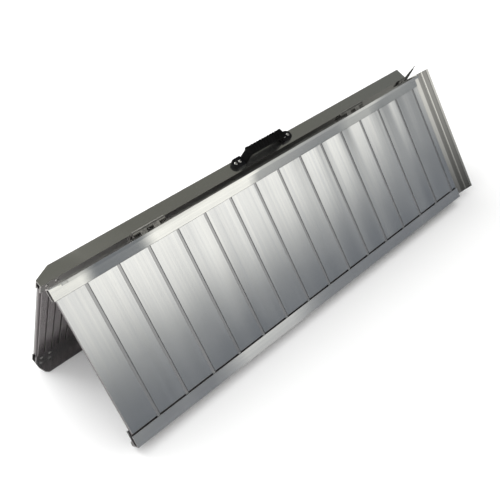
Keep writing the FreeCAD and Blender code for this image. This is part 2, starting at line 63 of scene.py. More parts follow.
# The matrix from a half's own millimetres to the standing ramp in metres.
def halfMatrix(side):
    sign = sideSigns[side]
    down, out = math.cos(lean), math.sin(lean)
    hinge = Vector(foldJoint["pos_m"])
    edge, rise = half["hingeEdgeGap"], half["hingeHeight"]
    return Matrix((
        (metre, 0, 0, hinge.x - half["groundEnd"] * metre),
        (0, -sign * out * metre, sign * down * metre, hinge.y - sign * (edge * out + rise * down) * metre),
        (0, -down * metre, -out * metre, hinge.z - (edge * down - rise * out) * metre),
        (0, 0, 0, 1)))


treadUp = {side: halfMatrix(side).to_3x3().col[2].normalized() for side in sideSigns}
handleOut = -halfMatrix("rear").to_3x3().col[1].normalized()


# One socket on a sheet. A sum on it adds the Math node that works it out.
class Wire:
    def __init__(self, sheet, socket):
        self.sheet = sheet
        self.socket = socket

    def maths(self, operation, *values):
        return self.sheet.maths(operation, *values)

    def output(self, name):
        return Wire(self.sheet, self.socket.node.outputs[name])

    def __add__(self, other):
        return self.maths("ADD", self, other)

    def __radd__(self, other):
        return self.maths("ADD", other, self)

    def __sub__(self, other):
        return self.maths("SUBTRACT", self, other)

    def __rsub__(self, other):
        return self.maths("SUBTRACT", other, self)

    def __mul__(self, other):
        return self.maths("MULTIPLY", self, other)

    def __rmul__(self, other):
        return self.maths("MULTIPLY", other, self)

    def __truediv__(self, other):
        return self.maths("DIVIDE", self, other)

    def __rtruediv__(self, other):
        return self.maths("DIVIDE", other, self)

    def __neg__(self):
        return self.maths("MULTIPLY", self, -1.0)


# A node tree to draw on, for a finish or for a repeated shape.
class Sheet:
    def __init__(self, tree):
        self.tree = tree

    def add(self, kind, settings=None, sockets=None, out=0):
        node = self.tree.nodes.new(kind)
        for name, value in (settings or {}).items():
            if name == "stops":
                self.setStops(node.color_ramp, value)
            elif name == "choices":
                for extra in range(value - 2):
                    node.index_switch_items.new()
            else:
                setattr(node, name, value)
        for key, value in (sockets or {}).items():
            self.join(value, node.inputs[key])
        return Wire(self, node.outputs[out]) if len(node.outputs) else node

    def setStops(self, ramp, stops):
        while len(ramp.elements) < len(stops):
            ramp.elements.new(0.5)
        for element, (place, level) in zip(ramp.elements, stops):
            element.position = place
            element.color = (level, level, level, 1) if isinstance(level, (int, float)) else (*level, 1)

    def maths(self, operation, *values):
        return self.add("ShaderNodeMath", {"operation": operation}, dict(enumerate(values)))

    def join(self, value, socket):
        if isinstance(value, Wire):
            self.tree.links.new(value.socket, socket)
        elif isinstance(value, (list, tuple)) and value and isinstance(value[0], Wire):
            for wire in value:
                self.tree.links.new(wire.socket, socket)
        else:
            socket.default_value = value


# A finish starts as a shader with its fixed values; what varies is joined to it afterwards.
def newFinish(name, fixed):
    material = bpy.data.materials.new(name)
    material.use_nodes = True
    material.node_tree.nodes.clear()
    sheet = Sheet(material.node_tree)
    surface = material.node_tree.nodes.new("ShaderNodeBsdfPrincipled")
    for label, value in fixed.items():
        surface.inputs[label].default_value = value
    ending = material.node_tree.nodes.new("ShaderNodeOutputMaterial")
    material.node_tree.links.new(surface.outputs[0], ending.inputs[0])
    return material, sheet, surface


# Noise at a place that is stretched and shifted first.
def noise(sheet, place, scale, detail=2.0, rough=0.5, stretch=(1, 1, 1), shift=(0, 0, 0)):
    stretched = sheet.add("ShaderNodeMapping", {}, {"Vector": place, "Scale": stretch, "Location": shift})
    settings = {"noise_dimensions": "3D"}
    values = {"Vector": stretched, "Scale": scale, "Detail": detail, "Roughness": rough}
    return sheet.add("ShaderNodeTexNoise", settings, values)


# A colour between two others, each a wire or three numbers.
def tint(sheet, amount, low, high):
    low, high = [colour if isinstance(colour, Wire) else (*colour, 1) for colour in (low, high)]
    return sheet.add("ShaderNodeMix", {"data_type": "RGBA"}, {0: amount, 6: low, 7: high}, out=2)


def ramp(sheet, value, stops):
    return sheet.add("ShaderNodeValToRGB", {"stops": stops}, {0: value})


# 0 below start, 1 above stop.
def between(sheet, value, start, stop):
    return sheet.add("ShaderNodeMapRange", {}, {"Value": value, "From Min": start, "From Max": stop})


# Stretches and offsets of the noises that all the aluminium finishes share.
aluminium = {
    "fine": {"detail": 2.0, "rough": 0.6},
    "wide": {"detail": 3.0, "rough": 0.55, "shift": (3.1, 1.7, 0.4)},
    "cloud": {"scale": 7.0, "detail": 3.0, "shift": (0.3, 2.2, 5.0)},
    "marks": {"scale": 90.0, "detail": 4.0, "rough": 0.6, "shift": (7.3, 0.2, 1.1)},
    "bow": {"detail": 0.0, "shift": (1.9, 4.2, 0.7)},
    "warp": {"scale": 11.0, "detail": 1.0, "stretch": (1, 0, 0), "shift": (2.4, 0, 0)},
    "fineShare": 0.35,
    "cloudStops": [(0.42, 0.0), (0.68, 1.0)],
    "markStops": [(0.62, 0.0), (0.78, 1.0)],
    "shadeStops": [(0.28, 0.0), (0.64, 1.0)],
    "halfRun": 0.65,
    "middleHeight": 0.17,
    "oxideShade": 0.03,
    "markShade": 0.05,
    "oxideRough": 0.03,
    "markRough": 0.03,
    "jointRough": 0.12,
    "treadRough": 0.12,
    "grooveRough": 0.15,
}
plankLook = {
    "light": (0.88, 0.88, 0.865),
    "dark": (0.76, 0.77, 0.785),
    "grain": (1.0, 0.006, 0.006),
    "fineScale": 1300.0,
    "wideScale": 110.0,
    "roughness": 0.095,
    "roughSpread": 0.07,
    "grainHeight": 0.00003,
    "bowHeight": 0.0009,
    "bowScale": 3.0,
    "seam": (0.52, 0.52, 0.525),
    "warp": 0.016,
    "grooveDirt": (0.30, 0.285, 0.29),
    "jointFrom": (0.4, 1.2),
    "jointTo": (3.4, 4.2),
    "treadFrom": (4.2, 5.5),
    "ridgeFrom": (10.6, 13.2),
    "tread": (0.80, 0.77, 0.78),
}
railLook = {
    "light": (0.84, 0.84, 0.83),
    "dark": (0.72, 0.73, 0.745),
    "grain": (0.004, 1.0, 1.0),
    "fineScale": 1500.0,
    "wideScale": 160.0,
    "roughness": 0.14,
    "roughSpread": 0.07,
    "grainHeight": 0.000015,
    "bowHeight": 0.0009,
    "bowScale": 2.2,
}
centreLook = {
    **railLook,
    "light": (0.97, 0.97, 0.93),
    "dark": (0.88, 0.88, 0.86),
    "twistMost": 0.135,
    "twistHeight": 0.35,
    "twist": [(0.055, 0.0), (0.088, 1.0), (0.165, 0.95), (0.205, 0.0), (0.42, 0.0), (0.447, 0.62),
              (0.60, 0.85), (0.67, 0.82), (0.71, 0.52), (0.775, 0.42), (0.82, 0.68), (0.95, 0.58)],
}
kerbLook = {
    **railLook,
    "twistMost": -0.075,
    "twistHeight": 0.037,
    "twist": [(0.02, 0.45), (0.07, 0.2), (0.17, 0.1), (0.26, 1.0), (0.38, 0.95), (0.46, 0.35),
              (0.53, 0.05), (1.0, 0.0)],
}
lipLook = {
    "light": (0.93, 0.92, 0.88),
    "dark": (0.82, 0.82, 0.81),
    "lipStart": 0.5765,
    "lipReach": 0.0658,
    # Painted highlight and shade: light and dark strips across the lip, darker towards the bottom.
    "strips": [(0.0, 0.60), (0.36, 0.66), (0.41, 0.30), (0.59, 0.27), (0.62, 0.76), (0.66, 0.76),
               (0.69, 0.32), (0.90, 0.34), (0.93, 0.60), (1.0, 0.64)],
    "lowest": 0.42,
    "fadeHeights": (0.03, 0.30),
    "grain": (1.0, 0.006, 0.006),
    "fineScale": 1300.0,
    "wideScale": 150.0,
    "roughness": 0.13,
    "roughSpread": 0.07,
    "grainHeight": 0.00002,
    "bowHeight": 0.0008,
    "bowScale": 2.5,
}


# Extruded aluminium: die lines along the grain, broad soft bands, clouds of dull oxide,
# handling marks, and a metal that is never quite flat. A look may add a twist along the rail,
# a warp from plank to plank, painted highlight and shade strips across the lip, darker towards the bottom,
# and the shades of seam, tread and groove, which follow the level above the underside in millimetres.
def extrudedAluminium(name, look):
    material, sheet, surface = newFinish(name, {"Metallic": 1.0})
    place = sheet.add("ShaderNodeTexCoord", out=3)
    spot = sheet.add("ShaderNodeSeparateXYZ", {}, {0: place})
    fine = noise(sheet, place, look["fineScale"], stretch=look["grain"], **aluminium["fine"])
    wide = noise(sheet, place, look["wideScale"], stretch=look["grain"], **aluminium["wide"])
    cloud = noise(sheet, place, **aluminium["cloud"])
    marks = noise(sheet, place, **aluminium["marks"])
    bow = noise(sheet, place, look["bowScale"], **aluminium["bow"])
    lines = fine * aluminium["fineShare"] + wide * (1 - aluminium["fineShare"])
    oxide = ramp(sheet, cloud, aluminium["cloudStops"])
    spots = ramp(sheet, marks, aluminium["markStops"])
    dulled = lines - oxide * aluminium["oxideShade"] - spots * aluminium["markShade"]
    shade = ramp(sheet, dulled, aluminium["shadeStops"])
    colour = tint(sheet, shade, look["dark"], look["light"])
    rough = look["roughness"] + (1 - shade) * look["roughSpread"]
    rough = rough + oxide * aluminium["oxideRough"] + spots * aluminium["markRough"]
    height = lines * look["grainHeight"] + bow * look["bowHeight"]
    if "twist" in look:
        run = (spot.output("X") + aluminium["halfRun"]) / (2 * aluminium["halfRun"])
        turned = ramp(sheet, run, look["twist"])
        height = height + turned * look["twistMost"] * (spot.output("Z") - look["twistHeight"])
    if "warp" in look:
        turned = noise(sheet, place, **aluminium["warp"])
        height = height + (turned - 0.5) * 2 * look["warp"] * (spot.output("Z") - aluminium["middleHeight"])
    if "strips" in look:
        # Painted highlight and shade: strips across the lip, darker towards the bottom.
        strip = ramp(sheet, (spot.output("X") - look["lipStart"]) / look["lipReach"], look["strips"])
        upper = between(sheet, spot.output("Z"), *look["fadeHeights"])
        colour = tint(sheet, strip * (look["lowest"] + upper * (1 - look["lowest"])), (0, 0, 0), colour)
    if "seam" in look:
        level = sheet.add("ShaderNodeAttribute", {"attribute_name": "level"}).output("Fac")
        joint = between(sheet, level, *look["jointFrom"]) - between(sheet, level, *look["jointTo"])
        tread = between(sheet, level, *look["treadFrom"])
        groove = tread - between(sheet, level, *look["ridgeFrom"])
        colour = tint(sheet, joint, colour, look["seam"])
        colour = tint(sheet, tread, colour, look["tread"])
        colour = tint(sheet, groove, colour, look["grooveDirt"])
        rough = rough + joint * aluminium["jointRough"] + tread * aluminium["treadRough"]
        rough = rough + groove * aluminium["grooveRough"]
    sheet.join(colour, surface.inputs["Base Color"])
    sheet.join(rough, surface.inputs["Roughness"])
    bump = sheet.add("ShaderNodeBump", {}, {"Strength": 1.0, "Distance": 1.0, "Height": height})
    sheet.join(bump, surface.inputs["Normal"])
    return material


steelLook = {
    "light": (0.38, 0.37, 0.35),
    "dark": (0.15, 0.15, 0.145),
    "rolled": {"scale": 900.0, "stretch": (0.03, 1, 1)},
    "stain": {"scale": 70.0, "detail": 4.0, "rough": 0.6},
    "shadeStops": [(0.35, 0.0), (0.6, 1.0)],
    "roughness": 0.28,
    "roughSpread": 0.2,
    "bump": {"Strength": 0.6, "Distance": 0.00005},
}


# Plated steel for the hinges: rolled grain along the pin, with dark stains scattered at random.
def platedSteel(name, look):
    material, sheet, surface = newFinish(name, {"Metallic": 1.0})
    place = sheet.add("ShaderNodeTexCoord", out=3)
    rolled = noise(sheet, place, **look["rolled"])
    stain = noise(sheet, place, **look["stain"])
    shade = ramp(sheet, rolled * 0.5 + stain * 0.5, look["shadeStops"])
    sheet.join(tint(sheet, shade, look["dark"], look["light"]), surface.inputs["Base Color"])
    sheet.join(look["roughness"] + (1 - shade) * look["roughSpread"], surface.inputs["Roughness"])
    bump = sheet.add("ShaderNodeBump", {}, {**look["bump"], "Height": rolled + stain})
    sheet.join(bump, surface.inputs["Normal"])
    return material


rivetLook = {
    "light": (0.80, 0.79, 0.76),
    "dark": (0.45, 0.45, 0.45),
    "pits": {"scale": 900.0, "detail": 3.0, "rough": 0.6},
    "smear": {"scale": 160.0, "detail": 3.0, "rough": 0.6},
    "pitShare": 0.4,
    "smearShare": 0.6,
    "shadeStops": [(0.38, 0.0), (0.55, 1.0)],
    "roughness": 0.22,
    "roughSpread": 0.25,
    "bump": {"Strength": 0.5, "Distance": 0.0001},
}


# Turned and pressed metal of the rivets, with fine pits.
def rivetMetal(name, look):
    material, sheet, surface = newFinish(name, {"Metallic": 1.0})
    place = sheet.add("ShaderNodeTexCoord", out=3)
    pits = noise(sheet, place, **look["pits"])
    smear = noise(sheet, place, **look["smear"])
    shade = ramp(sheet, pits * look["pitShare"] + smear * look["smearShare"], look["shadeStops"])
    sheet.join(tint(sheet, shade, look["dark"], look["light"]), surface.inputs["Base Color"])
    sheet.join(look["roughness"] + (1 - shade) * look["roughSpread"], surface.inputs["Roughness"])
    bump = sheet.add("ShaderNodeBump", {}, {**look["bump"], "Height": pits})
    sheet.join(bump, surface.inputs["Normal"])
    return material


moulding = {
    "gloss": 0.09,
    "grain": {"detail": 3.0, "rough": 0.6},
    "rubbed": {"scale": 45.0, "detail": 4.0, "rough": 0.6},
    "rubbedShare": 0.7,
    "grainShare": 0.3,
    "shadeStops": [(0.4, 0.0), (0.65, 1.0)],
    "roughSpread": 0.18,
    "bump": {"Strength": 0.5, "Distance": 0.0002},
}
plasticLook = {"dark": (0.004, 0.004, 0.005), "light": (0.011, 0.011, 0.012), "roughness": 0.36}
gripLook = {"dark": (0.002, 0.002, 0.002), "light": (0.006, 0.006, 0.006), "roughness": 0.48}


# Black moulded plastic or rubber: a spark-eroded grain and rubbed spots.
def blackMoulding(name, look, grainSize):
    material, sheet, surface = newFinish(name, {
        "Metallic": 0.0, "Specular IOR Level": moulding["gloss"]})
    place = sheet.add("ShaderNodeTexCoord", out=3)
    grain = noise(sheet, place, grainSize, **moulding["grain"])
    rubbed = noise(sheet, place, **moulding["rubbed"])
    worn = rubbed * moulding["rubbedShare"] + grain * moulding["grainShare"]
    shade = ramp(sheet, worn, moulding["shadeStops"])
    sheet.join(tint(sheet, shade, look["dark"], look["light"]), surface.inputs["Base Color"])
    sheet.join(look["roughness"] + (1 - shade) * moulding["roughSpread"], surface.inputs["Roughness"])
    bump = sheet.add("ShaderNodeBump", {}, {**moulding["bump"], "Height": grain})
    sheet.join(bump, surface.inputs["Normal"])
    return material


finishes = {
    "plank_aluminium": extrudedAluminium("plankAluminium", plankLook),
    "centre_rail": extrudedAluminium("centreRailAluminium", centreLook),
    "kerb_rail": extrudedAluminium("kerbRailAluminium", kerbLook),
    "lip_aluminium": extrudedAluminium("lipAluminium", lipLook),
    "hinge_steel": platedSteel("hingeSteel", steelLook),
    "rivet_steel": rivetMetal("rivetMetal", rivetLook),
    "handle_plastic": blackMoulding("capPlastic", plasticLook, 2600.0),
    "grip_rubber": blackMoulding("gripRubber", gripLook, 1800.0),
    "band_rubber": blackMoulding("bandRubber", gripLook, 1500.0),
}
print("finishes made: %d" % len(finishes))


def newPiece(name, mesh):
    piece = bpy.data.objects.new(name, mesh)
    bpy.context.scene.collection.objects.link(piece)
    return piece


# Gives a finished mesh its finish, its body and the CAD nodes that it stands for.
def settle(piece, slot, body, nodes, finish=None):
    piece.data.materials.clear()
    piece.data.materials.append(finishes[finish or slot])
    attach(piece, body)
    if nodes:
        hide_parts(*nodes)


def smoothShade(mesh):
    for face in mesh.polygons:
        face.use_smooth = True


sharpEdge = math.radians(32)


def breakEdges(piece, width):
    rounding = piece.modifiers.new("brokenEdge", "BEVEL")
    rounding.width = width * metre
    rounding.segments = 2
    rounding.limit_method = "ANGLE"
    rounding.angle_limit = sharpEdge
    rounding.harden_normals = True


# A copy of a CAD solid with its sharp edges broken, as a deburred edge is.
softened = {
    "centre_rail": ("rail_aluminium", 0.35),
    "kerb_rail": ("rail_aluminium", 0.5),
    "lip": ("lip_aluminium", 0.25),
    "end_bar": ("plank_aluminium", 0.3),
    "hinge_leaf": ("hinge_steel", 0.3),
    "hinge_pin": ("hinge_steel", 0.3),
    "handle_cap": ("handle_plastic", 1.3),
}


# Corners closer than sameSpot, in metres, are one corner, and faces that turn less than
# flatWithin are one face.
sameSpot = 0.000002
flatWithin = math.radians(0.6)


def softenedCopy(node, slot, width):
    shape = bmesh.new()
    shape.from_mesh(frame["nodes"][node].data)
    bmesh.ops.remove_doubles(shape, verts=shape.verts, dist=sameSpot)
    bmesh.ops.dissolve_limit(shape, angle_limit=flatWithin, verts=shape.verts, edges=shape.edges)
    shape.verts.index_update()
    corners = [corner.co.copy() for corner in shape.verts]
    faces = [[corner.index for corner in face.verts] for face in shape.faces]
    shape.free()
    mesh = bpy.data.meshes.new(node + "_finished")
    mesh.from_pydata(corners, [], faces)
    smoothShade(mesh)
    piece = newPiece(node + "_finished", mesh)
    breakEdges(piece, width)
    bodies = frame["record"]["behaviour"]["bodies"]
    body = next(name for name, members in bodies.items() if node in members)
    finish = next((name for name in finishes if node.startswith(name)), None)
    settle(piece, slot, body, [node], finish)
    return piece


for node in sorted(frame["nodes"]):
    for start, (slot, width) in softened.items():
        if node.startswith(start + "_") and "rivets" not in node:
            softenedCopy(node, slot, width)
print("CAD solids with broken edges made")

# A tree with named sizes. Returns its sheet and a wire for each size.
def newPattern(name, sizes, withShape=False):
    tree = bpy.data.node_groups.new(name, "GeometryNodeTree")
    tree.interface.new_socket("Shape", in_out="OUTPUT", socket_type="NodeSocketGeometry")
    if withShape:
        tree.interface.new_socket("Shape", in_out="INPUT", socket_type="NodeSocketGeometry")
    for label, value in sizes.items():
        kind = "NodeSocketInt" if isinstance(value, int) else "NodeSocketFloat"
        tree.interface.new_socket(label, in_out="INPUT", socket_type=kind)
    sheet = Sheet(tree)
    entry = sheet.add("NodeGroupInput")
    return sheet, entry.output


def endPattern(sheet, shapes, material):
    joined = sheet.add("GeometryNodeJoinGeometry", {}, {0: shapes})
    solid = sheet.add("GeometryNodeRealizeInstances", {}, {0: joined})
    dressed = sheet.add("GeometryNodeSetMaterial", {}, {0: solid, "Material": material})
    sheet.add("NodeGroupOutput", {}, {0: dressed})


# Runs a tree on a start mesh and keeps the result as a plain mesh.
def makeFromPattern(name, sheet, sizes, startMesh=None):
    piece = newPiece(name, startMesh or bpy.data.meshes.new(name))
    modifier = piece.modifiers.new("pattern", "NODES")
    modifier.node_group = sheet.tree
    for item in sheet.tree.interface.items_tree:
        if item.in_out == "INPUT" and item.name in sizes:
            modifier[item.identifier] = sizes[item.name]
    seen = piece.evaluated_get(bpy.context.evaluated_depsgraph_get())
    mesh = bpy.data.meshes.new_from_object(seen)
    piece.modifiers.clear()
    piece.data = mesh
    mesh.name = name
    return piece


def vector(sheet, x=0.0, y=0.0, z=0.0):
    return sheet.add("ShaderNodeCombineXYZ", {}, {0: x, 1: y, 2: z})


barWeld = 0.002


# A closed bar: the outline's corners, drawn in x and y, are pushed along z.
def bar(sheet, corners, start, length):
    disc = sheet.add("GeometryNodeMeshCircle", {"fill_type": "NGON"}, {"Vertices": len(corners)})
    number = sheet.add("GeometryNodeInputIndex")
    places = {order + 1: vector(sheet, x, y) for order, (x, y) in enumerate(corners)}
    chosen = sheet.add("GeometryNodeIndexSwitch", {"data_type": "VECTOR", "choices": len(corners)},
                       {0: number, **places})
    outline = sheet.add("GeometryNodeSetPosition", {}, {0: disc, "Position": chosen})
    level = sheet.add("ShaderNodeSeparateXYZ", {}, {0: chosen}).output("Y")
    marked = sheet.add("GeometryNodeStoreNamedAttribute", {"data_type": "FLOAT", "domain": "POINT"},
                       {0: outline, "Name": "level", "Value": level})
    moved = sheet.add("GeometryNodeTransform", {}, {0: marked, "Translation": vector(sheet, z=start)})
    pushed = sheet.add("GeometryNodeExtrudeMesh", {"mode": "FACES"}, {
        0: moved, "Offset": vector(sheet, z=1.0), "Offset Scale": length, "Individual": False})
    closing = sheet.add("GeometryNodeFlipFaces", {}, {0: moved})
    both = sheet.add("GeometryNodeJoinGeometry", {}, {0: [pushed, closing]})
    return sheet.add("GeometryNodeMergeByDistance", {}, {0: both, "Distance": barWeld})


# The planks of one half, in its own millimetres.
deck = {
    "Plank pitch": 80.0,
    "Whole planks": 14,
    "Plank height": 13.6,
    "Groove width": 4.5,
    "Groove depth": 3.6,
    "Groove shift": 9.0,
    "Seam half width": 4.0,
    "Seam recess": 1.5,
    "Tongue thickness": 1.8,
    "Seam clearance": 0.4,
    "First seam": 73.0,
    "Skin floor": 8.6,
    "Web half thickness": 0.7,
    "Fold edge": 3.0,
    "Fold flange edge": 28.3,
    "Slot start": 343.5,
    "Tongue end": 347.7,
    "Kerb edge": 372.5,
}
ridgesPerPlank = 4
deckEdge = 0.3


# Corners of a plank's end view, going round from the right end of its underside.
# The first plank has no overhang: it starts at its first web.
def plankCorners(size, first, upperOnly):
    ridge = size("Plank pitch") / ridgesPerPlank
    grooves = [ridge * number - size("Groove shift") for number in range(ridgesPerPlank + 1)]
    halfGroove = size("Groove width") / 2
    top = size("Plank height")
    floor = top - size("Groove depth")
    tongueTop = size("Seam recess") + size("Tongue thickness")
    wall = grooves[-1] + halfGroove - size("Seam clearance")
    tongueRoot = size("Plank pitch") - size("Seam half width")
    tongueTip = size("Plank pitch") + size("Seam half width") - size("Seam clearance")
    under = size("Skin floor")
    if upperOnly:
        corners = [(wall, under), (wall, floor)]
    else:
        recess = size("Seam recess")
        corners = [(tongueRoot, 0.0), (tongueRoot, recess), (tongueTip, recess),
                   (tongueTip, tongueTop), (wall, tongueTop), (wall, floor)]
    for number in range(ridgesPerPlank - 1, 0 if first else -1, -1):
        right, left = grooves[number + 1] - halfGroove, grooves[number] + halfGroove
        corners += [(right, floor), (right, top), (left, top)]
        if number > 0:
            corners.append((left, floor))
    overhang = tongueTop + size("Seam clearance")
    if first:
        web = grooves[1] - size("Web half thickness")
        corners += [(web, floor), (web, under if upperOnly else 0.0)]
    elif upperOnly:
        corners.append((grooves[0] + halfGroove, under))
    else:
        corners += [(grooves[0] + halfGroove, overhang), (size("Seam half width"), overhang),
                    (size("Seam half width"), 0.0)]
    return corners


def drawPlank(sheet, size, first):
    foldEdge, foldFlange = size("Fold edge"), size("Fold flange edge")
    slotStart, kerbEdge = size("Slot start"), size("Kerb edge")
    tongueRoot = size("Plank pitch") - size("Seam half width")
    tongueTip = size("Plank pitch") + size("Seam half width") - size("Seam clearance")
    tongueTop = size("Seam recess") + size("Tongue thickness")
    tongue = [(tongueRoot, size("Seam recess")), (tongueTip, size("Seam recess")),
              (tongueTip, tongueTop), (tongueRoot, tongueTop)]
    upper = plankCorners(size, first, True)
    return [bar(sheet, plankCorners(size, first, False), foldFlange, slotStart - foldFlange),
            bar(sheet, upper, foldEdge, foldFlange - foldEdge),
            bar(sheet, upper, slotStart, kerbEdge - slotStart),
            bar(sheet, tongue, slotStart, size("Tongue end") - slotStart)]


def drawDeck(material):
    sheet, size = newPattern("plankDeck", deck)
    whole = sheet.add("GeometryNodeJoinGeometry", {}, {0: drawPlank(sheet, size, False)})
    pitch = vector(sheet, size("Plank pitch"))
    row = sheet.add("GeometryNodeMeshLine", {}, {"Count": size("Whole planks"), "Offset": pitch,
                                                 "Start Location": vector(sheet, size("First seam"))})
    placed = sheet.add("GeometryNodeInstanceOnPoints", {}, {"Points": row, "Instance": whole})
    first = sheet.add("GeometryNodeJoinGeometry", {}, {0: drawPlank(sheet, size, True)})
    start = vector(sheet, size("First seam") - size("Plank pitch"))
    firstPlaced = sheet.add("GeometryNodeTransform", {}, {0: first, "Translation": start})
    endPattern(sheet, [placed, firstPlaced], material)
    return sheet


def standUp(mesh, matrix):
    mesh.transform(matrix)
    if matrix.determinant() < 0:
        mesh.flip_normals()


acrossLast = Matrix(((1, 0, 0, 0), (0, 0, 1, 0), (0, 1, 0, 0), (0, 0, 0, 1)))
deckSheet = drawDeck(finishes["plank_aluminium"])
for side in sideSigns:
    planks = makeFromPattern("deck_" + side, deckSheet, deck)
    standUp(planks.data, halfMatrix(side) @ acrossLast)
    smoothShade(planks.data)
    breakEdges(planks, deckEdge)
    nodes = [node for node in frame["nodes"] if node.startswith("plank_" + side)]
    settle(planks, "plank_aluminium", side + "_half", nodes)
print("plank decks made")

# Rivets: a domed head on a shank with a swollen tail, in metres.
rivet = {
    "Head radius": 0.0042,
    "Head height": 0.0016,
    "Shank radius": 0.002,
    "Tail radius": 0.0025,
    "Tail length": 0.0035,
    "Whole length": 0.008,
}
headRounds = {"Segments": 24, "Rings": 12}
shankSides = 16


def drawRivet(material):
    sheet, size = newPattern("domedRivet", rivet, withShape=True)
    ball = sheet.add("GeometryNodeMeshUVSphere", {}, {**headRounds, "Radius": 1.0})
    spot = sheet.add("ShaderNodeSeparateXYZ", {}, {0: sheet.add("GeometryNodeInputPosition")})
    domed = vector(sheet, spot.output("X") * size("Head radius"), spot.output("Y") * size("Head radius"),
                   sheet.maths("MAXIMUM", spot.output("Z"), 0.0) * size("Head height"))
    head = sheet.add("GeometryNodeSetPosition", {}, {0: ball, "Position": domed})
    headClean = sheet.add("GeometryNodeMergeByDistance", {}, {0: head, "Distance": sameSpot})
    below = size("Whole length") - size("Head height")
    shank = sheet.add("GeometryNodeMeshCylinder", {}, {
        "Vertices": shankSides, "Radius": size("Shank radius"), "Depth": below})
    shankPlaced = sheet.add("GeometryNodeTransform", {}, {
        0: shank, "Translation": vector(sheet, z=-below / 2)})
    tail = sheet.add("GeometryNodeMeshCylinder", {}, {
        "Vertices": shankSides, "Radius": size("Tail radius"), "Depth": size("Tail length")})
    tailPlaced = sheet.add("GeometryNodeTransform", {}, {
        0: tail, "Translation": vector(sheet, z=size("Tail length") / 2 - below)})
    one = sheet.add("GeometryNodeJoinGeometry", {}, {0: [headClean, shankPlaced, tailPlaced]})
    axis = sheet.add("GeometryNodeInputNamedAttribute", {"data_type": "FLOAT_VECTOR"}, {"Name": "axis"})
    turn = sheet.add("FunctionNodeAlignRotationToVector", {"axis": "Z"}, {"Vector": axis})
    placed = sheet.add("GeometryNodeInstanceOnPoints", {}, {"Points": size("Shape"), "Instance": one,
                                                            "Rotation": turn})
    endPattern(sheet, [placed], material)
    return sheet


# The separate solids of a CAD node, each as its list of corners.
def solidsOf(node):
    shape = bmesh.new()
    shape.from_mesh(frame["nodes"][node].data)
    bmesh.ops.remove_doubles(shape, verts=shape.verts, dist=sameSpot)
    left, solids = set(shape.verts), []
    while left:
        reached, waiting = [], [left.pop()]
        while waiting:
            corner = waiting.pop()
            reached.append(corner.co.copy())
            for edge in corner.link_edges:
                far = edge.other_vert(corner)
                if far in left:
                    left.remove(far)
                    waiting.append(far)
        solids.append(reached)
    shape.free()
    return solids


# Where each rivet's head sits, and how long the rivet is, read from its CAD solid.
def rivetSeats(node, axis):
    seats, length = [], 0.0
    for corners in solidsOf(node):
        along = [corner.dot(axis) for corner in corners]
        length = max(along) - min(along)
        offset = sum(((corner - axis * corner.dot(axis)) for corner in corners), Vector()) / len(corners)
        seats.append(offset + axis * (max(along) - rivet["Head height"]))
    return seats, length


rivetSheet = drawRivet(finishes["rivet_steel"])


def rivetRow(node, body, axis):
    seats, length = rivetSeats(node, axis)
    points = bpy.data.meshes.new(node + "_seats")
    points.from_pydata(seats, [], [])
    store = points.attributes.new("axis", "FLOAT_VECTOR", "POINT")
    store.data.foreach_set("vector", list(axis) * len(seats))
    tail = {"Tail length": rivet["Head height"]} if node == "handle_rivets" else {}
    piece = makeFromPattern(node + "_domed", rivetSheet, {**rivet, "Whole length": length, **tail}, points)
    smoothShade(piece.data)
    settle(piece, "rivet_steel", body, [node])


for side in sideSigns:
    for kind in ("rail_rivets_", "lip_rivets_", "hinge_rivets_"):
        rivetRow(kind + side, side + "_half", treadUp[side])
rivetRow("handle_rivets", "rear_half", handleOut)
print("rivets made")

# The carrying strap, in the rear half's millimetres along the rail, out from it and across.
handle = {
    "middle": 643.8,
    "drop": -4.0,
    "capPlace": 84.0,
    "capMouth": 67.0,
    "strapSeat": 2.8,
    "strapLift": 31.8,
    "strapHalfWidth": 9.0,
    "strapHalfThickness": 0.8,
    "riserHalfWidth": 11.0,
    "riserHalfThickness": 2.0,
    "gripHalfLength": 59.0,
    "gripHalfWidth": 12.5,
    "gripHalfThickness": 6.0,
    "gripWaist": 0.9,
    "squareness": 4.0,
    "around": 32,
    "strapSpare": 2.0,
    "kneeInside": 6.0,
    "riserSteps": 12,
    "swellRate": 4,
    "gripSteps": 40,
    "waistReach": 0.84,
    "endRounding": 1.2,
    "roundingAngle": 50,
}


# A ring round a station of the strap: a soft rectangle that stands across the path.
def ringPoints(station):
    along, out, slope, halfWidth, halfThickness = station
    points = []
    for step in range(handle["around"]):
        angle = 2 * math.pi * step / handle["around"]
        power = 2 / handle["squareness"]
        cosine, sine = math.cos(angle), math.sin(angle)
        side = math.copysign(abs(cosine) ** power, cosine) * halfWidth
        rise = math.copysign(abs(sine) ** power, sine) * halfThickness
        points.append((handle["middle"] + along - rise * math.sin(slope), -(out + rise * math.cos(slope)),
                       handle["drop"] + side))
    return points


def loft(name, stations):
    shape = bmesh.new()
    rings = [[shape.verts.new(point) for point in ringPoints(station)] for station in stations]
    for near, far in zip(rings, rings[1:]):
        for step in range(len(near)):
            after = (step + 1) % len(near)
            shape.faces.new((near[step], near[after], far[after], far[step]))
    shape.faces.new(rings[0])
    shape.faces.new(rings[-1])
    shape.transform(halfMatrix("rear"))
    bmesh.ops.recalc_face_normals(shape, faces=shape.faces)
    mesh = bpy.data.meshes.new(name)
    shape.to_mesh(mesh)
    shape.free()
    smoothShade(mesh)
    return newPiece(name, mesh)


# An S-shaped step from start to stop.
def easeBetween(start, stop, share):
    return start + (stop - start) * share * share * (3 - 2 * share)


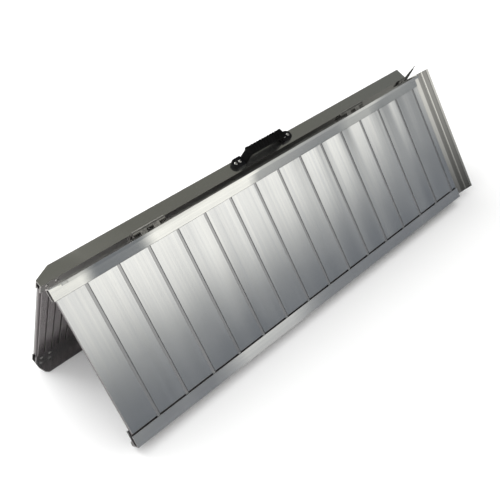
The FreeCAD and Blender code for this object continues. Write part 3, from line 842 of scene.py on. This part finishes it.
# From the ground-end cap up the riser, along the grip and down to the other cap.
def strapStations():
    size = handle
    stations = []
    tip, mouth = size["capPlace"] + size["strapSpare"], size["capMouth"]
    knee = size["gripHalfLength"] - size["kneeInside"]
    for along in (tip, mouth + size["strapSpare"]):
        stations.append((along, size["strapSeat"], 0, size["strapHalfWidth"], size["strapHalfThickness"]))
    climb = size["strapLift"] - size["strapSeat"]
    steps = size["riserSteps"]
    for step in range(1, steps + 1):
        share = step / steps
        along = mouth + (knee - mouth) * share
        out = easeBetween(size["strapSeat"], size["strapLift"], share)
        slope = math.atan(climb * 6 * share * (1 - share) / (knee - mouth))
        swell = min(1.0, size["swellRate"] * share)
        halfWidth = easeBetween(size["strapHalfWidth"], size["riserHalfWidth"], swell)
        halfThickness = easeBetween(size["strapHalfThickness"], size["riserHalfThickness"], swell)
        stations.append((along, out, slope, halfWidth, halfThickness))
    mirrored = [(-along, out, -slope, wide, thick) for along, out, slope, wide, thick in reversed(stations)]
    return stations + mirrored


# The sleeve is a little slimmer along its middle than at its ends.
def gripStations():
    size = handle
    stations = []
    steps = size["gripSteps"]
    for step in range(steps + 1):
        share = 2 * step / steps - 1
        along = share * size["gripHalfLength"]
        end = max(0.0, (abs(share) - size["waistReach"]) / (1 - size["waistReach"]))
        waist = size["gripWaist"] * (1 - end ** 0.5)
        halfWidth = size["gripHalfWidth"] - waist
        halfThickness = size["gripHalfThickness"] - waist
        stations.append((along, size["strapLift"], 0, halfWidth, halfThickness))
    return stations


rib = {
    "Rib count": 10,
    "Rib pitch": 9.2,
    "Rib reach": 11.0,
    "Rib bow": 4.5,
    "Rib radius": 1.5,
}


# The grip's raised ribs: bowed bars that stand across it in a row.
def drawRibs(material):
    sheet, size = newPattern("gripRibs", rib)
    reach = size("Rib reach")
    bowed = sheet.add("GeometryNodeCurveQuadraticBezier", {}, {
        "Resolution": 12, "Start": vector(sheet, y=-reach), "Middle": vector(sheet, size("Rib bow")),
        "End": vector(sheet, y=reach)})
    section = sheet.add("GeometryNodeCurvePrimitiveCircle", {}, {
        "Resolution": 10, "Radius": size("Rib radius")})
    solid = sheet.add("GeometryNodeCurveToMesh", {}, {0: bowed, 1: section, "Fill Caps": True})
    first = size("Rib pitch") * (size("Rib count") - 1) / -2
    row = sheet.add("GeometryNodeMeshLine", {}, {
        "Count": size("Rib count"), "Start Location": vector(sheet, first),
        "Offset": vector(sheet, size("Rib pitch"))})
    placed = sheet.add("GeometryNodeInstanceOnPoints", {}, {"Points": row, "Instance": solid})
    endPattern(sheet, [placed], material)
    return sheet


ribs = makeFromPattern("grip_ribs", drawRibs(finishes["grip_rubber"]), rib)
ribSeat = handle["strapLift"] + handle["gripHalfThickness"] - handle["gripWaist"]
ribPlace = Matrix((
    (1, 0, 0, handle["middle"]),
    (0, 0, -1, -ribSeat),
    (0, 1, 0, handle["drop"]),
    (0, 0, 0, 1)))
standUp(ribs.data, halfMatrix("rear") @ ribPlace)
smoothShade(ribs.data)
strap = loft("carry_strap", strapStations())
sleeve = loft("grip_sleeve", gripStations())
sleeveRounding = sleeve.modifiers.new("softEnds", "BEVEL")
sleeveRounding.width = handle["endRounding"] * metre
sleeveRounding.segments = 3
sleeveRounding.angle_limit = math.radians(handle["roundingAngle"])
handlePieces = (
    (strap, "band_rubber", ["handle_band"]),
    (sleeve, "grip_rubber", ["handle_grip"]),
    (ribs, "grip_rubber", []),
)
for piece, slot, nodes in handlePieces:
    settle(piece, slot, "rear_half", nodes)
    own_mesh(piece)
print("handle made")

# The floor, and the light. Bearings are in degrees from the front towards the lip end, and
# heights are in degrees above the horizon.
studio = {
    "floorSize": 60.0,
    "floorRoughness": 0.9,
    "floorMottle": {"scale": 3.0, "detail": 3.0},
    "floorLight": (0.985, 0.985, 0.98),
    "floorDark": (0.955, 0.955, 0.95),
    "floorMirrored": (0.42, 0.405, 0.40),
    "floorShaded": (0.11, 0.108, 0.10),
    "shadeAlong": (-0.1, 0.35),
    "shadeAcross": (-0.6, -0.4),
    "roomColour": (1.0, 1.0, 1.0, 1),
    "roomStrength": 0.99,
    "lowGloom": (0.120, 0.134, 0.154),
    "highGloom": (0.118, 0.118, 0.104),
    "panelColour": (1.0, 0.985, 0.93),
    "panelRise": [(0.10, 0.0), (0.2, 0.06), (0.262, 0.16), (0.30, 0.36), (0.345, 0.68), (0.40, 0.92),
                  (0.46, 1.0), (0.80, 0.9), (1.0, 0.3)],
    "panelSweep": [(0.0, 0.55), (0.25, 0.45), (0.50, 0.70), (0.57, 0.86), (0.64, 1.0), (0.71, 0.93),
                   (0.762, 0.75), (0.79, 0.28), (0.84, 0.05), (0.90, 0.0), (1.0, 0.0)],
    "panelHeight": 40,
    "panelBearings": (-60, 80),
    "panelSlope": 0.13,
    "panelMiddle": 28,
    "slopeFrom": -30.0,
    "backPanel": 0.8,
    "behindFrom": 110,
    "behindSweep": [(0.0, 0.0), (0.5, 1.0), (1.0, 1.0)],
    "behindHeight": 60,
    "behindRise": [(0.1, 0.0), (0.4, 1.0), (0.8, 0.8), (1.0, 0.0)],
    "gloomHeight": 50,
    "gloomRise": [(0.1, 0.0), (1.0, 1.0)],
}


# The floor is pale to the eye and darker in the metal, most of all towards the lip end.
def makeFloor():
    size = studio["floorSize"] / 2
    mesh = bpy.data.meshes.new("floor")
    corners = [(-size, -size, 0), (size, -size, 0), (size, size, 0), (-size, size, 0)]
    mesh.from_pydata(corners, [], [(0, 1, 2, 3)])
    floor = newPiece("floor", mesh)
    material, sheet, surface = newFinish("paleFloor", {"Roughness": studio["floorRoughness"]})
    place = sheet.add("ShaderNodeTexCoord", out=3)
    mottle = noise(sheet, place, **studio["floorMottle"])
    plain = tint(sheet, mottle, studio["floorDark"], studio["floorLight"])
    isGloss = sheet.add("ShaderNodeLightPath").output("Is Glossy Ray")
    spot = sheet.add("ShaderNodeSeparateXYZ", {}, {0: place})
    along = between(sheet, spot.output("X"), *studio["shadeAlong"])
    shaded = along * between(sheet, spot.output("Y"), *studio["shadeAcross"])
    mirrored = tint(sheet, shaded, studio["floorMirrored"], studio["floorShaded"])
    sheet.join(tint(sheet, isGloss, plain, mirrored), surface.inputs["Base Color"])
    mesh.materials.append(material)


# What the metal mirrors: a dim room with a tall warm panel in front and a softer one behind.
# Diffuse surfaces get an even white light.
def makeWorld():
    world = bpy.data.worlds.new("studio")
    world.use_nodes = True
    world.node_tree.nodes.clear()
    sheet = Sheet(world.node_tree)
    direction = sheet.add("ShaderNodeTexCoord", out=0)
    parts = sheet.add("ShaderNodeSeparateXYZ", {}, {0: direction})
    height = sheet.maths("ARCSINE", parts.output("Z")) * math.degrees(1)
    bearing = sheet.maths("ARCTAN2", parts.output("X"), -parts.output("Y")) * math.degrees(1)
    fromMiddle = sheet.maths("MAXIMUM", bearing, studio["slopeFrom"]) - studio["panelMiddle"]
    levelled = height + fromMiddle * studio["panelSlope"]
    rise = ramp(sheet, levelled / studio["panelHeight"], studio["panelRise"])
    left, right = studio["panelBearings"]
    sweep = ramp(sheet, (bearing - left) / (right - left), studio["panelSweep"])
    start = studio["behindFrom"]
    turnedAway = (sheet.maths("ABSOLUTE", bearing) - start) / (180 - start)
    behind = ramp(sheet, turnedAway, studio["behindSweep"])
    above = ramp(sheet, height / studio["behindHeight"], studio["behindRise"])
    dusk = ramp(sheet, height / studio["gloomHeight"], studio["gloomRise"])
    gloom = tint(sheet, dusk, studio["lowGloom"], studio["highGloom"])
    panels = rise * sweep + behind * above * studio["backPanel"]
    seen = tint(sheet, panels, (0, 0, 0), studio["panelColour"])
    mirrored = sheet.add("ShaderNodeMix", {"data_type": "RGBA", "blend_type": "ADD"},
                         {0: 1.0, 6: gloom, 7: seen}, out=2)
    gloss = sheet.add("ShaderNodeBackground", {}, {"Color": mirrored, "Strength": 1.0})
    room = sheet.add("ShaderNodeBackground", {}, {
        "Color": studio["roomColour"], "Strength": studio["roomStrength"]})
    isGloss = sheet.add("ShaderNodeLightPath").output("Is Glossy Ray")
    both = sheet.add("ShaderNodeMixShader", {}, {0: isGloss, 1: room, 2: gloss})
    sheet.add("ShaderNodeOutputWorld", {}, {"Surface": both})
    bpy.context.scene.world = world


lamps = {
    "backSky": {"place": (-0.6, 2.2, 2.6), "target": (0, 0, 0), "size": (3.0, 2.0), "power": 60,
                "colour": (1.0, 1.0, 1.0)},
    "leftFill": {"place": (-2.6, -0.6, 1.4), "target": (-0.4, 0, 0.1), "size": (1.5, 1.5), "power": 12,
                 "colour": (0.95, 0.97, 1.0)},
}


def makeLamps():
    for name, lamp in lamps.items():
        light = bpy.data.lights.new(name, "AREA")
        light.shape = "RECTANGLE"
        light.size, light.size_y = lamp["size"]
        light.energy = lamp["power"]
        light.color = lamp["colour"]
        holder = bpy.data.objects.new(name, light)
        bpy.context.scene.collection.objects.link(holder)
        holder.location = lamp["place"]
        aim = Vector(lamp["target"]) - Vector(lamp["place"])
        holder.rotation_euler = aim.to_track_quat("-Z", "Y").to_euler()


camera = {
    "place": (-1.0896, -1.1153, 1.1855),
    "target": (-0.0374, 0.0, -0.0098),
    "roll": -5.32,
    "lens": 51.74,
    "sensor": 36,
    "shift": (-0.0393, 0.0588),
}


def makeCamera():
    lens = bpy.data.cameras.new("camera")
    lens.lens = camera["lens"]
    lens.sensor_width = camera["sensor"]
    lens.shift_x, lens.shift_y = camera["shift"]
    holder = bpy.data.objects.new("camera", lens)
    bpy.context.scene.collection.objects.link(holder)
    aim = Vector(camera["target"]) - Vector(camera["place"])
    turn = aim.to_track_quat("-Z", "Y").to_matrix() @ Matrix.Rotation(math.radians(camera["roll"]), 3, "Z")
    holder.location = camera["place"]
    holder.rotation_euler = turn.to_euler()
    bpy.context.scene.camera = holder


makeFloor()
makeWorld()
makeLamps()
makeCamera()
bpy.context.scene.view_settings.view_transform = "Standard"
print("studio made")
